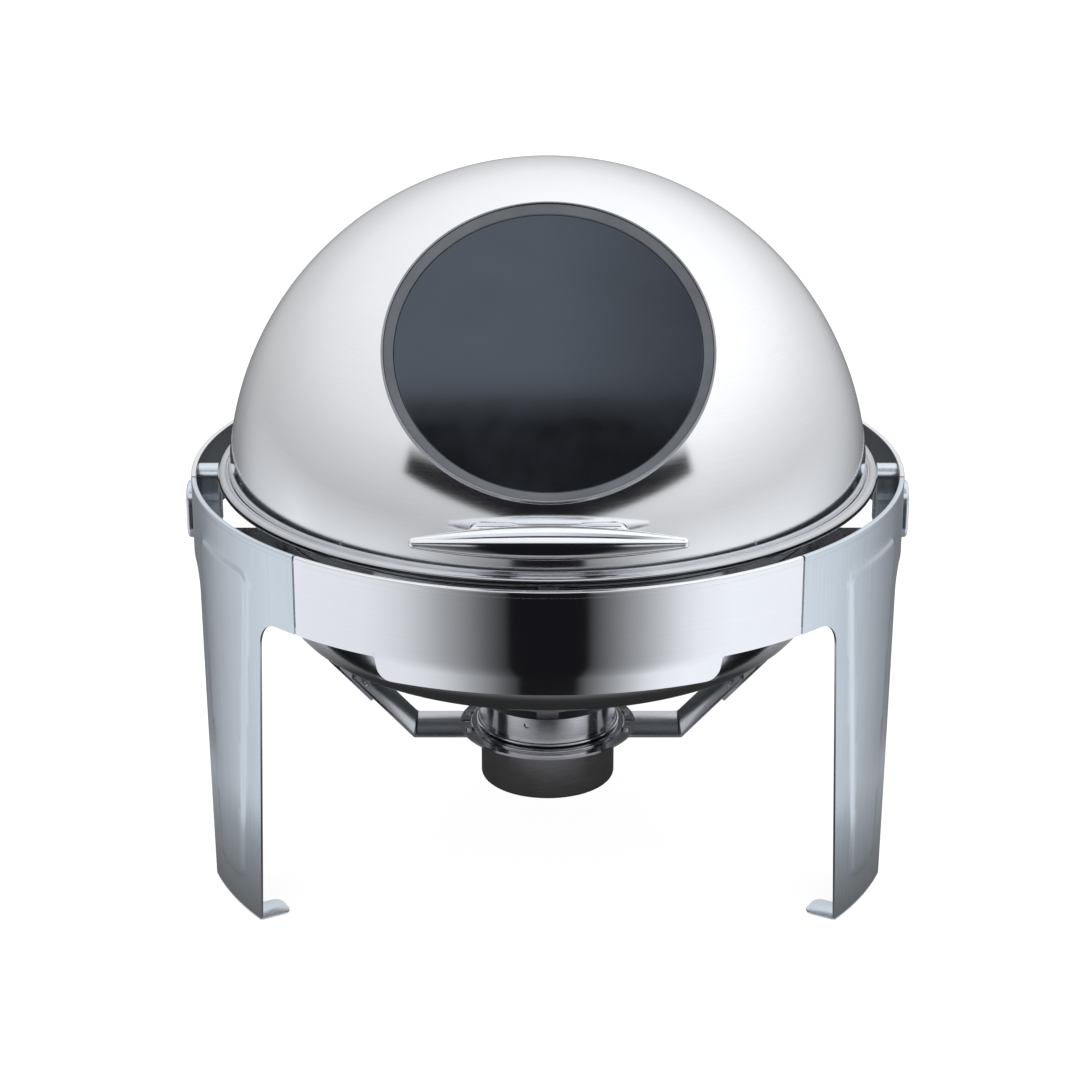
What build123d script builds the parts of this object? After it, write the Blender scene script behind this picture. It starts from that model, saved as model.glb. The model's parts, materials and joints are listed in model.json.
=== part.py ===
from build123d import *
import math
import os

# Roll top chafer, millimetres. +Z is up, the table is Z = 0 and the front is -Y.
# The frame and every pan are centred on the Z axis. Azimuth is measured from
# the front, positive towards +X.

# ---- driving dimensions ----------------------------------------------------
FRAME_R = 230.0           # outer face of the round frame
FRAME_TOP = 260.0         # top edge of the frame
BAND_HEIGHT = 50.0        # depth of the frame band
SHEET = 1.5               # frame sheet thickness
SEAM_GAP = 1.6            # visible joint between frame plates

FRONT_LEG_AZIMUTH = 61.5
LEG_AZIMUTHS = {
    "leg_right": FRONT_LEG_AZIMUTH,
    "leg_rear": 180.0,
    "leg_left": -FRONT_LEG_AZIMUTH,
}
LEG_PLATE_HALF_ANGLE = 20.5
LEG_TOP_HALF_WIDTH = 49.0
LEG_FOOT_HALF_WIDTH = 37.0
ARCH_RADIUS = 26.0        # rounded corner between band and leg
FOOT_TAB = 20.0           # length of the foot tabs, turned inwards

PIVOT_Z = 250.0           # height of the lid hinge axis
PIN_R = 4.0
PIN_CLEARANCE = 0.05      # radial running clearance in the bushes

LID_R = 206.0             # outer radius of the spherical lid
LID_SHEET = 1.2
RIM_BOTTOM = 255.5        # underside of the lid rim
DOME_BASE = 259.5         # where the dome meets its rim

WINDOW_TILT = 43.2        # elevation of the window centre
WINDOW_OPENING_R = 96.0
GLASS_R = 94.2
GLASS_THICKNESS = 4.0

HANDLE_TILT = 9.6         # elevation of the handle above the hinge axis
HANDLE_REACH = 228.0      # hinge axis to grip centre line
GRIP_LENGTH = 160.0
GRIP_R = 10.0
GRIP_END_R = 3.2
HANDLE_POST_X = 31.0

PAN_SHEET = 1.2
WATER_PAN_R = 177.0
WATER_PAN_BOTTOM = 151.0
WATER_PAN_CORNER = 31.0
WATER_RIM_R = 194.0
WATER_RIM_TOP = 248.2
FOOD_PAN_R = 170.0
FOOD_PAN_DEPTH = 65.0
FOOD_PAN_CORNER = 25.0
FOOD_RIM_R = 192.0

BURNER_Y = -50.0          # burner centre, in front of the hinge line
CUP_R = 43.3
CUP_BOTTOM = 61.6
CUP_TOP = 117.5
PLATE_R = 57.0
ARM_WIDTH = 38.0
ARM_SHEET = 2.0
ARM_TOP = 96.2            # upper face of the level part of the arms
ARM_BEND_X = 86.0
ARM_SLOPE = 46.5

BAND_BOTTOM = FRAME_TOP - BAND_HEIGHT
INNER_R = FRAME_R - SHEET
SIDES = {"left": -1, "right": 1}
PIVOT = (0, 0, PIVOT_Z)

os.makedirs("parts", exist_ok=True)


# ---- helpers ---------------------------------------------------------------
def save(name, *solids):
    """Write one node: its solids, all in the object's own frame."""
    shape = solids[0] if len(solids) == 1 else Compound(children=list(solids))
    shape.label = name
    export_step(shape, f"parts/{name}.step")


def section(*points):
    """Closed face in the radius-height plane."""
    return Plane.XZ * make_face(Polyline(*points, close=True))


def disc_section(radius, height, size):
    """Round face in the radius-height plane."""
    return Plane.XZ * Pos(radius, height) * Circle(size)


def around(face, start=0.0, end=360.0):
    """Revolve a radius-height face from one azimuth to another."""
    return Rot(0, 0, start - 90) * revolve(face, axis=Axis.Z, revolution_arc=end - start)


def tube(outer, inner, bottom, top):
    """Upright tube on the Z axis."""
    height = top - bottom
    lift = Pos(0, 0, bottom + height / 2)
    return lift * (Cylinder(outer, height) - Cylinder(inner, height + 1))


def block(x0, x1, y0, y1, z0, z1):
    """Box from its two corners."""
    centre = Pos((x0 + x1) / 2, (y0 + y1) / 2, (z0 + z1) / 2)
    return centre * Box(x1 - x0, y1 - y0, z1 - z0)


def along_x(radius, x0, x1, y=0.0, z=PIVOT_Z):
    """Round bar lying along X."""
    return Pos((x0 + x1) / 2, y, z) * Rot(0, 90, 0) * Cylinder(radius, abs(x1 - x0))


def upright(radius, z0, z1, x=0.0, y=0.0):
    """Round bar standing along Z."""
    return Pos(x, y, (z0 + z1) / 2) * Cylinder(radius, z1 - z0)


def mirrored(shape, side):
    """The shape as drawn for the right side, or its mirror image."""
    return shape if side > 0 else mirror(shape, about=Plane.YZ)


# ---- frame plates ----------------------------------------------------------
HEM_DEPTH = 4.0
HEM_INWARD = 2.0


def band_section():
    """Frame band with its hemmed top edge."""
    return section(
        (INNER_R, BAND_BOTTOM),
        (FRAME_R, BAND_BOTTOM),
        (FRAME_R, FRAME_TOP),
        (INNER_R - HEM_INWARD, FRAME_TOP),
        (INNER_R - HEM_INWARD, FRAME_TOP - HEM_DEPTH),
        (INNER_R, FRAME_TOP - HEM_DEPTH),
    )


STRAP_HALF_ANGLE = 1.6
SEAM_HALF = math.degrees(SEAM_GAP / 2 / FRAME_R)


def band_arc(start, end):
    """Piece of the band between two seams."""
    return around(band_section(), start + SEAM_HALF, end - SEAM_HALF)


LIP_HALF_WIDTH = 102.0
LIP_DROP = 16.5
LIP_INSET = 5.0           # how far the lip's lower edge leans inwards
LIP_CORNER = 11.0


def front_panel():
    """Front of the band with the drip lip below it."""
    edge = FRONT_LEG_AZIMUTH - LEG_PLATE_HALF_ANGLE
    lip_bottom = BAND_BOTTOM - LIP_DROP
    lip = around(
        section(
            (INNER_R, BAND_BOTTOM),
            (FRAME_R, BAND_BOTTOM),
            (FRAME_R - LIP_INSET, lip_bottom),
            (INNER_R - LIP_INSET, lip_bottom),
        ),
        -edge,
        edge,
    )
    outline = Rectangle(2 * LIP_HALF_WIDTH, 2 * LIP_DROP)
    outline = fillet(outline.vertices().group_by(Axis.Y)[0], LIP_CORNER)
    cutter = Plane.XZ * Pos(0, BAND_BOTTOM) * outline
    lip = lip & extrude(cutter, amount=FRAME_R + 10)
    return band_arc(-edge, edge) + lip


def leg_half_width(height):
    """Half the leg's width, which tapers evenly down to the foot."""
    share = height / BAND_BOTTOM
    return LEG_FOOT_HALF_WIDTH + (LEG_TOP_HALF_WIDTH - LEG_FOOT_HALF_WIDTH) * share


EMBOSS_TOP_HALF_WIDTH = 37.0
EMBOSS_FOOT_HALF_WIDTH = 19.0
EMBOSS_HEIGHT = 1.2
EMBOSS_CORNER = 9.0
EMBOSS_TOP = 238.0
EMBOSS_BOTTOM = 20.0
FOOT_TAB_WIDTH = 20.0
FOOT_CORNER = 6.0


def leg():
    """Leg plate at the front: band piece, tapered leg, raised panel and foot."""
    foot_half = leg_half_width(0)
    top_half = leg_half_width(BAND_BOTTOM)
    outline = make_face(Polyline(
        (-foot_half, 0),
        (foot_half, 0),
        (top_half, BAND_BOTTOM),
        (FRAME_R, BAND_BOTTOM),
        (FRAME_R, FRAME_TOP + 1),
        (-FRAME_R, FRAME_TOP + 1),
        (-FRAME_R, BAND_BOTTOM),
        (-top_half, BAND_BOTTOM),
        close=True,
    ))
    arch = [v for v in outline.vertices() if abs(abs(v.X) - top_half) < 0.1]
    outline = fillet(arch, ARCH_RADIUS)
    shell = around(
        section(
            (INNER_R, 0),
            (FRAME_R, 0),
            (FRAME_R, FRAME_TOP),
            (INNER_R - HEM_INWARD, FRAME_TOP),
            (INNER_R - HEM_INWARD, FRAME_TOP - HEM_DEPTH),
            (INNER_R, FRAME_TOP - HEM_DEPTH),
        ),
        -LEG_PLATE_HALF_ANGLE + SEAM_HALF,
        LEG_PLATE_HALF_ANGLE - SEAM_HALF,
    )
    plate = shell & extrude(Plane.XZ * outline, amount=FRAME_R + 10)

    def panel_cutter(inset):
        low = EMBOSS_FOOT_HALF_WIDTH - inset
        high = EMBOSS_TOP_HALF_WIDTH - inset
        base = EMBOSS_BOTTOM + inset
        crown = EMBOSS_TOP - inset
        face = make_face(Polyline((-low, base), (low, base), (high, crown), (-high, crown),
                                  close=True))
        face = fillet(face.vertices(), EMBOSS_CORNER)
        return extrude(Plane.XZ * face, amount=FRAME_R + 10)

    raised = tube(FRAME_R + EMBOSS_HEIGHT, FRAME_R, 0, FRAME_TOP) & panel_cutter(0)
    hollow = tube(INNER_R + EMBOSS_HEIGHT, INNER_R - 0.5, 0, FRAME_TOP) & panel_cutter(SHEET)
    plate = plate + raised - hollow

    reach = math.sqrt(INNER_R ** 2 - foot_half ** 2)
    tab = Rectangle(FOOT_TAB_WIDTH, 2 * FOOT_TAB)
    tab = fillet(tab.vertices().group_by(Axis.Y)[-1], FOOT_CORNER)
    for side in SIDES.values():
        place = Pos(side * (foot_half - FOOT_TAB_WIDTH / 2), -reach)
        foot = place * extrude(tab, amount=SHEET) & upright(INNER_R + 0.3, 0, SHEET)
        plate = plate + foot
    return plate


# ---- hinge -----------------------------------------------------------------
BRACKET_INNER_X = 213.8
BRACKET_BOSS_R = 8.0
BRACKET_HALF_WIDTH = 14.0
BRACKET_BOTTOM = 216.0
BRACKET_SHOULDER = 238.0
COVER_HALF_WIDTH = 13.0
COVER_BOTTOM = 208.0
COVER_TOP = 246.0
COVER_THICKNESS = 4.5
SCREW_R = 2.5
SCREW_HEAD_R = 4.8
SCREW_HEIGHTS = (221.5, 233.0)
PIN_INNER_X = 202.2
PIN_OUTER_X = 226.0
CLIP_INNER_X = 203.0
CLIP_OUTER_X = 203.8
CLIP_GROOVE_R = 3.2
CLIP_R = 5.2
EAR_INNER_X = 204.2
EAR_OUTER_X = 207.2
EAR_R = 12.0
EAR_HALF_WIDTH = 14.0
BUSH_R = 5.2


def yz_slab(face, x0, x1):
    """Extrude a face drawn in the Y-Z plane between two X positions."""
    return extrude(Plane.YZ.offset(x0) * face, amount=x1 - x0)


def hinge_screw_bars(radius, x0, x1):
    """One bar through each hinge screw position."""
    return [along_x(radius, x0, x1, 0, z) for z in SCREW_HEIGHTS]


def hinge_bracket():
    """Block on the inner face of the band that carries the hinge pin."""
    low_half = BRACKET_HALF_WIDTH
    high_half = BRACKET_BOSS_R
    outline = make_face([
        Line((-high_half, PIVOT_Z), (-high_half, BRACKET_SHOULDER)),
        Line((-high_half, BRACKET_SHOULDER), (-low_half, BRACKET_SHOULDER)),
        Line((-low_half, BRACKET_SHOULDER), (-low_half, BRACKET_BOTTOM)),
        Line((-low_half, BRACKET_BOTTOM), (low_half, BRACKET_BOTTOM)),
        Line((low_half, BRACKET_BOTTOM), (low_half, BRACKET_SHOULDER)),
        Line((low_half, BRACKET_SHOULDER), (high_half, BRACKET_SHOULDER)),
        Line((high_half, BRACKET_SHOULDER), (high_half, PIVOT_Z)),
        ThreePointArc((high_half, PIVOT_Z), (0, PIVOT_Z + high_half), (-high_half, PIVOT_Z)),
    ])
    body = yz_slab(outline, BRACKET_INNER_X, FRAME_R)
    body = body & upright(INNER_R, BRACKET_BOTTOM - 1, FRAME_TOP)
    body = body - tube(FRAME_R, INNER_R - HEM_INWARD, FRAME_TOP - HEM_DEPTH, FRAME_TOP)
    body = body - along_x(PIN_R, BRACKET_INNER_X - 1, PIN_OUTER_X)
    for bar in hinge_screw_bars(SCREW_R, BRACKET_INNER_X - 1, FRAME_R):
        body = body - bar
    for bar in hinge_screw_bars(SCREW_HEAD_R + 0.2, BRACKET_INNER_X - 1, BRACKET_INNER_X + 3.5):
        body = body - bar
    return body


def hinge_screws():
    """Screws that clamp the bracket and the outer cover to the band."""
    heads = hinge_screw_bars(SCREW_HEAD_R, BRACKET_INNER_X + 0.5, BRACKET_INNER_X + 3.5)
    shanks = hinge_screw_bars(SCREW_R, BRACKET_INNER_X + 3.5, FRAME_R + 2.5)
    return [head + shank for head, shank in zip(heads, shanks)]


def pivot_cover():
    """Rounded cover plate on the outer face of the band."""
    height = COVER_TOP - COVER_BOTTOM
    centre_z = (COVER_TOP + COVER_BOTTOM) / 2
    face = Pos(0, centre_z) * RectangleRounded(2 * COVER_HALF_WIDTH, height, COVER_HALF_WIDTH - 1)
    body = yz_slab(face, FRAME_R - 5, FRAME_R + COVER_THICKNESS)
    outer_edges = body.faces().sort_by(Axis.X)[-1].edges()
    body = fillet(outer_edges, 2.0)
    body = body - upright(FRAME_R, COVER_BOTTOM - 1, COVER_TOP + 1)
    for bar in hinge_screw_bars(SCREW_R, FRAME_R - 5, FRAME_R + 2.5):
        body = body - bar
    return body


def pivot_pin():
    """Hinge pin with a groove for its retaining clip."""
    pin = along_x(PIN_R, PIN_INNER_X, PIN_OUTER_X)
    pin = chamfer(pin.edges().sort_by(Axis.X)[0], 0.5)
    groove = along_x(PIN_R + 1, CLIP_INNER_X, CLIP_OUTER_X)
    return pin - (groove - along_x(CLIP_GROOVE_R, CLIP_INNER_X - 1, CLIP_OUTER_X + 1))


def pivot_clip():
    """Open retaining clip in the pin groove."""
    clip = along_x(CLIP_R, CLIP_INNER_X, CLIP_OUTER_X)
    clip = clip - along_x(CLIP_GROOVE_R, CLIP_INNER_X - 1, CLIP_OUTER_X + 1)
    return clip - block(CLIP_INNER_X - 1, CLIP_OUTER_X + 1, -1.5, 1.5, PIVOT_Z, PIVOT_Z + 10)


def lid_ear():
    """Hinge ear below the lid rim."""
    outline = make_face([
        Line((-EAR_R, PIVOT_Z), (-EAR_HALF_WIDTH, RIM_BOTTOM)),
        Line((-EAR_HALF_WIDTH, RIM_BOTTOM), (EAR_HALF_WIDTH, RIM_BOTTOM)),
        Line((EAR_HALF_WIDTH, RIM_BOTTOM), (EAR_R, PIVOT_Z)),
        ThreePointArc((EAR_R, PIVOT_Z), (0, PIVOT_Z - EAR_R), (-EAR_R, PIVOT_Z)),
    ])
    body = yz_slab(outline, EAR_INNER_X, EAR_OUTER_X)
    return body - along_x(BUSH_R, EAR_INNER_X - 1, EAR_OUTER_X + 1)


def pivot_bush():
    """Plain bush in the lid ear."""
    bush = along_x(BUSH_R, EAR_INNER_X - 0.2, EAR_OUTER_X + 0.6)
    return bush - along_x(PIN_R + PIN_CLEARANCE, EAR_INNER_X - 2, EAR_OUTER_X + 2)


# ---- lid -------------------------------------------------------------------
def facing(tilt):
    """Plane through the hinge axis whose normal leaves the front at an elevation."""
    angle = math.radians(tilt)
    normal = (0, -math.cos(angle), math.sin(angle))
    return Plane(origin=PIVOT, x_dir=(1, 0, 0), z_dir=normal)


def facing_ring(plane, outer, inner, low, high):
    """Ring square to a facing plane, between two distances from the hinge axis."""
    ring = Cylinder(outer, high - low)
    if inner > 0:
        ring = ring - Cylinder(inner, high - low + 1)
    return plane * Pos(0, 0, (low + high) / 2) * ring


WINDOW = facing(WINDOW_TILT)
HANDLE = facing(HANDLE_TILT)
WINDOW_SEAT = math.sqrt(LID_R ** 2 - WINDOW_OPENING_R ** 2)
GASKET_INNER_R = 91.5
GASKET_DEPTH = 6.5
RIM_BEAD_R = 3.2
HANDLE_SCREW_R = 2.0


def handle_screw_bar(side, radius, low, high):
    """Bar along the handle direction through one handle post."""
    bar = Cylinder(radius, high - low)
    return HANDLE * Pos(side * HANDLE_POST_X, 0, (low + high) / 2) * bar


def lid_dome():
    """Spun dome with the window opening and the handle screw holes."""
    dome = Pos(*PIVOT) * (Sphere(LID_R) - Sphere(LID_R - LID_SHEET))
    dome = dome - block(-LID_R - 1, LID_R + 1, -LID_R - 1, LID_R + 1, 0, DOME_BASE)
    dome = dome - facing_ring(WINDOW, WINDOW_OPENING_R, 0, 150, 220)
    for side in SIDES.values():
        dome = dome - handle_screw_bar(side, HANDLE_SCREW_R + 0.1, 190, 220)
    return dome


def lid_rim():
    """Rolled rim: a flat foot under the dome, a main bead and a fine bead."""
    inner = LID_R - 2.2
    bead_radius = 209.6
    foot = section(
        (inner, RIM_BOTTOM),
        (bead_radius, RIM_BOTTOM),
        (bead_radius, RIM_BOTTOM + 2),
        (LID_R + 0.2, RIM_BOTTOM + 3),
        (LID_R + 0.2, DOME_BASE),
        (inner, DOME_BASE),
    )
    main_bead = disc_section(bead_radius, RIM_BOTTOM + RIM_BEAD_R, RIM_BEAD_R)
    fine_bead = disc_section(LID_R + 1.3, DOME_BASE - 0.2, 1.3)
    return around(foot + main_bead + fine_bead)


def window_parts():
    """Glass, gasket, outer trim ring and inner retaining ring."""
    top = WINDOW_SEAT
    bottom = top - GASKET_DEPTH
    glass_top = top - 1.0
    glass_bottom = glass_top - GLASS_THICKNESS
    glass = facing_ring(WINDOW, GLASS_R, 0, glass_bottom, glass_top)
    gasket = facing_ring(WINDOW, WINDOW_OPENING_R - 0.1, GASKET_INNER_R, bottom, top)
    gasket = gasket - facing_ring(WINDOW, GLASS_R, 0, glass_bottom, glass_top)
    trim = facing_ring(WINDOW, WINDOW_OPENING_R + 2.8, WINDOW_OPENING_R - 1.0, top, top + 2.0)
    trim = fillet(trim.edges().filter_by(GeomType.CIRCLE).sort_by(
        lambda edge: (edge.center() - Vector(*PIVOT)).length + edge.radius / 1000)[-1], 1.2)
    retainer = facing_ring(WINDOW, GASKET_INNER_R + 7.0, GASKET_INNER_R + 0.5, bottom - 1.5, bottom)
    return glass, gasket, trim, retainer


def handle_grip():
    """Slender grip, thickest in the middle, with rounded ends."""
    half = GRIP_LENGTH / 2 - GRIP_END_R
    crown = ThreePointArc((-half, GRIP_END_R), (0, GRIP_R), (half, GRIP_END_R))
    right_end = RadiusArc((half, GRIP_END_R), (half + GRIP_END_R, 0), GRIP_END_R)
    base = Line((half + GRIP_END_R, 0), (-half - GRIP_END_R, 0))
    left_end = RadiusArc((-half - GRIP_END_R, 0), (-half, GRIP_END_R), GRIP_END_R)
    profile = make_face([crown, right_end, base, left_end])
    return HANDLE * Pos(0, 0, HANDLE_REACH) * revolve(profile, axis=Axis.X)


def handle_post(side, grip):
    """Oval pad on the dome with a narrower neck up to the grip."""
    pad = extrude(RectangleRounded(32, 14, 6.9), amount=210.5 - 196)
    pad = fillet(pad.faces().sort_by(Axis.Z)[-1].edges(), 1.5)
    neck = Pos(0, 0, 8) * extrude(RectangleRounded(20, 9, 4.4), amount=HANDLE_REACH - 205)
    post = HANDLE * Pos(side * HANDLE_POST_X, 0, 196) * (pad + neck)
    post = post - Pos(*PIVOT) * Sphere(LID_R) - grip
    post = post - handle_screw_bar(side, HANDLE_SCREW_R, 190, 216)
    return post.solids().sort_by(SortBy.VOLUME)[-1]


def handle_screw(side):
    """Pan head screw from inside the dome into the handle post."""
    head = handle_screw_bar(side, 4.2, 198.6, 201.4)
    return head + handle_screw_bar(side, HANDLE_SCREW_R, 201.4, 216)


# ---- pans ------------------------------------------------------------------
def pan_section(wall_r, bottom, corner, rim_r, rim_top, sheet):
    """Radius-height section of a round pan with a flat rim."""
    def filled(radius, base, rounding):
        mid = rounding * math.sqrt(0.5)
        line = [
            Line((0, base), (radius - rounding, base)),
            ThreePointArc((radius - rounding, base),
                          (radius - rounding + mid, base + rounding - mid),
                          (radius, base + rounding)),
            Line((radius, base + rounding), (radius, rim_top)),
            Line((radius, rim_top), (0, rim_top)),
            Line((0, rim_top), (0, base)),
        ]
        return make_face(line)
    wall = filled(wall_r, bottom, corner) - filled(wall_r - sheet, bottom + sheet, corner - sheet)
    middle = (wall_r - sheet + rim_r) / 2
    rim = Pos(middle, rim_top - sheet / 2) * Rectangle(rim_r - wall_r + sheet, sheet)
    return Plane.XZ * (wall + rim)


def water_pan():
    """Deep water pan, carried by the frame brackets."""
    return around(pan_section(WATER_PAN_R, WATER_PAN_BOTTOM, WATER_PAN_CORNER,
                              WATER_RIM_R, WATER_RIM_TOP, PAN_SHEET))


def food_pan():
    """Food pan that hangs by its rim on the rim of the water pan."""
    rim_top = WATER_RIM_TOP + PAN_SHEET
    return around(pan_section(FOOD_PAN_R, rim_top - FOOD_PAN_DEPTH, FOOD_PAN_CORNER,
                              FOOD_RIM_R, rim_top, PAN_SHEET))


SUPPORT_HALF_WIDTH = 10.0
SUPPORT_Y = -54.0
SUPPORT_BOTTOM = 214.0
SUPPORT_TOP = 240.0
SUPPORT_SHELF = (226.0, 230.0)
SUPPORT_SHEET = 2.0
LEDGE_FRONT_Y = -145.0    # the ledge runs from here back to the rear of the bracket
LEDGE_CLEARANCE = 0.5


def pan_support(window):
    """Bracket from the band to the water pan, inside the given box."""
    outer = tube(INNER_R, INNER_R - SUPPORT_SHEET, SUPPORT_BOTTOM, SUPPORT_TOP)
    inner = tube(WATER_PAN_R + SUPPORT_SHEET, WATER_PAN_R, SUPPORT_BOTTOM, SUPPORT_TOP)
    shelf = tube(INNER_R - 1, WATER_PAN_R + 1, *SUPPORT_SHELF)
    return (outer + inner + shelf) & window


def side_support():
    """Pan bracket on the right, in front of the hinge, with a ledge that runs forwards."""
    rear_y = SUPPORT_Y + SUPPORT_HALF_WIDTH
    bracket = pan_support(block(100, FRAME_R, SUPPORT_Y - SUPPORT_HALF_WIDTH, rear_y,
                                200, FRAME_TOP))
    ledge = tube(INNER_R - LEDGE_CLEARANCE, WATER_PAN_R + LEDGE_CLEARANCE, *SUPPORT_SHELF)
    return bracket + (ledge & block(60, FRAME_R, LEDGE_FRONT_Y, rear_y, 200, FRAME_TOP))


def front_support():
    """Pan bracket at the front, which also carries the lid buffer."""
    return pan_support(block(-20, 20, -FRAME_R, -100, 200, FRAME_TOP))


# ---- burner ----------------------------------------------------------------
def strip(points, thickness):
    """Bent strip as wide as the arms: its line is drawn in X and Z."""
    line = Polyline(*points)
    face = Plane.XZ * make_face(offset(line, thickness / 2, side=Side.BOTH, kind=Kind.INTERSECTION))
    width = extrude(face, amount=ARM_WIDTH / 2, both=True)
    return Pos(0, BURNER_Y, 0) * width


SLOPE = math.radians(ARM_SLOPE)
ARM_END_X = 46.0
ARM_RISE = 56.0           # sloping length of the arm
BRACKET_LOW = 37.0        # sloping distance at which the pan bracket starts
BRACKET_FLANGE_X = 112.0
RIVET_R = 2.0
RIVET_HEAD_R = 3.5
RIVET_HEAD = 1.2
RIVET_DY = 11.0


def on_slope(distance, outwards=0.0):
    """Point on the sloping line of the arm, moved square to it."""
    x = ARM_BEND_X + distance * math.cos(SLOPE) + outwards * math.sin(SLOPE)
    z = ARM_TOP - ARM_SHEET / 2 + distance * math.sin(SLOPE) - outwards * math.cos(SLOPE)
    return x, z


def burner_arm():
    """Strip that leaves the burner plate level and then climbs outwards."""
    level = ARM_TOP - ARM_SHEET / 2
    return strip([(ARM_END_X, level), (ARM_BEND_X, level), on_slope(ARM_RISE)], ARM_SHEET)


def arm_bracket():
    """Strip welded under the water pan, with the arm riveted to its slope."""
    flange_z = WATER_PAN_BOTTOM - ARM_SHEET / 2
    low = on_slope(BRACKET_LOW, ARM_SHEET)
    knee = (low[0] + (flange_z - low[1]) / math.tan(SLOPE), flange_z)
    return strip([low, knee, (BRACKET_FLANGE_X, flange_z)], ARM_SHEET)


def slope_bar(radius, start, end, y):
    """Bar square to the arm's slope, between two depths outwards from its line."""
    x, z = on_slope((ARM_RISE + BRACKET_LOW) / 2, (start + end) / 2)
    return Pos(x, y, z) * Rot(0, 180 - ARM_SLOPE, 0) * Cylinder(radius, end - start)


def rivet_rows():
    """Y positions of the two rivets in each arm."""
    return [BURNER_Y - RIVET_DY, BURNER_Y + RIVET_DY]


def arm_rivets():
    """Headed rivets through the arm and its bracket."""
    inside = -ARM_SHEET / 2
    outside = ARM_SHEET * 1.5
    rivets = []
    for y in rivet_rows():
        shank = slope_bar(RIVET_R, inside, outside, y)
        inner_head = slope_bar(RIVET_HEAD_R, inside - RIVET_HEAD, inside, y)
        outer_head = slope_bar(RIVET_HEAD_R, outside, outside + RIVET_HEAD, y)
        rivets.append(shank + inner_head + outer_head)
    return rivets


CUP_WALL = 1.2
CUP_FLANGE_R = 50.0
PLATE_SHEET = 1.5
PLATE_TOP = ARM_TOP + PLATE_SHEET
PLATE_SCREW_X = 51.0
PLATE_SCREW_DY = 13.0
PLATE_SCREW_R = 1.5
COVER_SKIRT_R = 44.8
COVER_SHEET = 1.0
COVER_HOLE_R = 27.0
COVER_BEAD_R = 1.2
COVER_SKIRT_BOTTOM = 100.8
VENT_R = 2.0
VENT_HEIGHT = 113.5
VENT_START = -17.5        # azimuth of the first vent hole
DAMPER_R = 30.0
DAMPER_SHEET = 1.2
DAMPER_PIVOT = (0.0, BURNER_Y + 36.0)
DAMPER_PIN_R = 2.0
DAMPER_LOW = CUP_TOP + COVER_SHEET + 0.3


def plate_screw_places():
    """Centres of the four screws between the plate and the arms."""
    return [(side * PLATE_SCREW_X, BURNER_Y + dy)
            for side in SIDES.values() for dy in (-PLATE_SCREW_DY, PLATE_SCREW_DY)]


def burner_plate():
    """Round plate with the burner opening, screwed onto both arms."""
    plate = upright(PLATE_R, ARM_TOP, PLATE_TOP, 0, BURNER_Y)
    plate = plate - upright(CUP_R + 0.5, 0, FRAME_TOP, 0, BURNER_Y)
    for x, y in plate_screw_places():
        plate = plate - upright(PLATE_SCREW_R, 0, FRAME_TOP, x, y)
    for side in SIDES.values():
        slot = extrude(SlotOverall(9, 3.5), amount=5)
        plate = plate - Pos(side * PLATE_SCREW_X, BURNER_Y, ARM_TOP - 1) * slot
    return plate


def plate_screws():
    """Small pan head screws down through the plate and the arms."""
    screws = []
    for x, y in plate_screw_places():
        shank = upright(PLATE_SCREW_R, ARM_TOP - ARM_SHEET - 1.5, PLATE_TOP, x, y)
        screws.append(shank + upright(2.6, PLATE_TOP, PLATE_TOP + 1.4, x, y))
    return screws


def burner_cup():
    """Open cup for the fuel, hung in the plate by its flange."""
    outside = upright(CUP_R, CUP_BOTTOM, CUP_TOP)
    outside = fillet(outside.edges().sort_by(Axis.Z)[0], 2.5)
    inside = upright(CUP_R - CUP_WALL, CUP_BOTTOM + CUP_WALL, CUP_TOP + 1)
    flange = upright(CUP_FLANGE_R, PLATE_TOP, PLATE_TOP + CUP_WALL)
    return Pos(0, BURNER_Y, 0) * (outside + flange - inside)


def burner_cover():
    """Cap over the cup: a ring on top and a vented skirt with a rolled edge."""
    ring = tube(COVER_SKIRT_R, COVER_HOLE_R, CUP_TOP, CUP_TOP + COVER_SHEET)
    skirt = tube(COVER_SKIRT_R, COVER_SKIRT_R - COVER_SHEET, COVER_SKIRT_BOTTOM, CUP_TOP)
    bead_radius = COVER_SKIRT_R - COVER_SHEET + COVER_BEAD_R
    bead = around(disc_section(bead_radius, COVER_SKIRT_BOTTOM, COVER_BEAD_R))
    cover = ring + skirt + bead
    for step in range(6):
        azimuth = VENT_START + 60 * step
        drill = Rot(0, 0, azimuth) * Pos(0, -COVER_SKIRT_R, VENT_HEIGHT) * Rot(90, 0, 0)
        cover = cover - drill * Cylinder(VENT_R, 6)
    cover = Pos(0, BURNER_Y, 0) * cover
    return cover - upright(DAMPER_PIN_R, CUP_TOP - 3, CUP_TOP + 3, *DAMPER_PIVOT)


def burner_damper():
    """Swivelling disc over the cover's opening, with a turned-up finger tab."""
    high = DAMPER_LOW + DAMPER_SHEET
    disc = upright(DAMPER_R, DAMPER_LOW, high, 0, BURNER_Y)
    ear = block(-6, 6, BURNER_Y, DAMPER_PIVOT[1], DAMPER_LOW, high)
    ear = ear + upright(6, DAMPER_LOW, high, *DAMPER_PIVOT)
    front = BURNER_Y - DAMPER_R
    tab = block(-7, 7, front - 0.6, front + 0.6, DAMPER_LOW, high + 4)
    return disc + ear + tab - upright(DAMPER_PIN_R + PIN_CLEARANCE, 0, FRAME_TOP, *DAMPER_PIVOT)


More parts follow.
